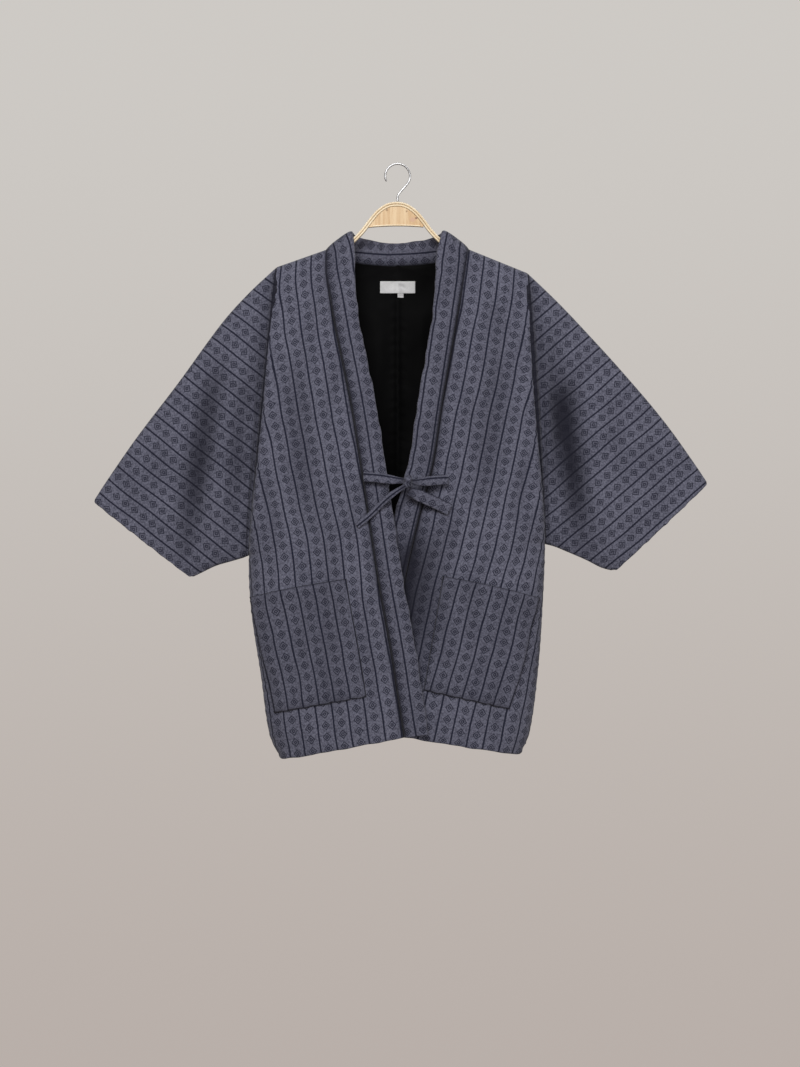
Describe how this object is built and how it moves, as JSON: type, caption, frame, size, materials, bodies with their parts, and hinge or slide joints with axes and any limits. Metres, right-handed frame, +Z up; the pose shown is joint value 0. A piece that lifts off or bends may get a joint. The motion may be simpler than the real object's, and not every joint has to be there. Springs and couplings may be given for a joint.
{
  "type": "hanten jacket on a clothes hanger",
  "caption": "Short padded cotton jacket with wide sleeves, a long collar band, patch pockets and a tied bow, hanging open-necked on a bent-wood hanger.",
  "frame": {"origin": "the inside top of the hanger's hook, where a rail or a peg holds it", "axes": "+Z up, -Y towards the viewer at the front of the jacket, +X towards the wearer's left"},
  "size_m": [1.026, 0.1449, 0.9935],
  "materials": {
    "hanten_cloth": "matte woven cotton, grey-blue with navy stripes and lozenges",
    "lining_cloth": "matte black cotton",
    "label_cloth": "satin woven tape, bare",
    "bent_wood": "clear satin varnish",
    "hook_wire": "plain bright wire"
  },
  "bodies": {
    "root": {"right_front": "hanten_cloth", "left_front": "hanten_cloth", "right_back": "hanten_cloth", "left_back": "hanten_cloth", "right_sleeve": "hanten_cloth", "left_sleeve": "hanten_cloth", "collar": "hanten_cloth", "right_pocket": "hanten_cloth", "left_pocket": "hanten_cloth", "back_lining": "lining_cloth", "label": "label_cloth", "size_tab": "label_cloth", "tie_knot": "hanten_cloth", "right_tie_loop": "hanten_cloth", "left_tie_loop": "hanten_cloth", "right_tie_end": "hanten_cloth", "left_tie_end": "hanten_cloth", "hanger_bow": "bent_wood", "hanger_plate": "bent_wood", "hanger_hook": "hook_wire"}
  },
  "joints": []
}
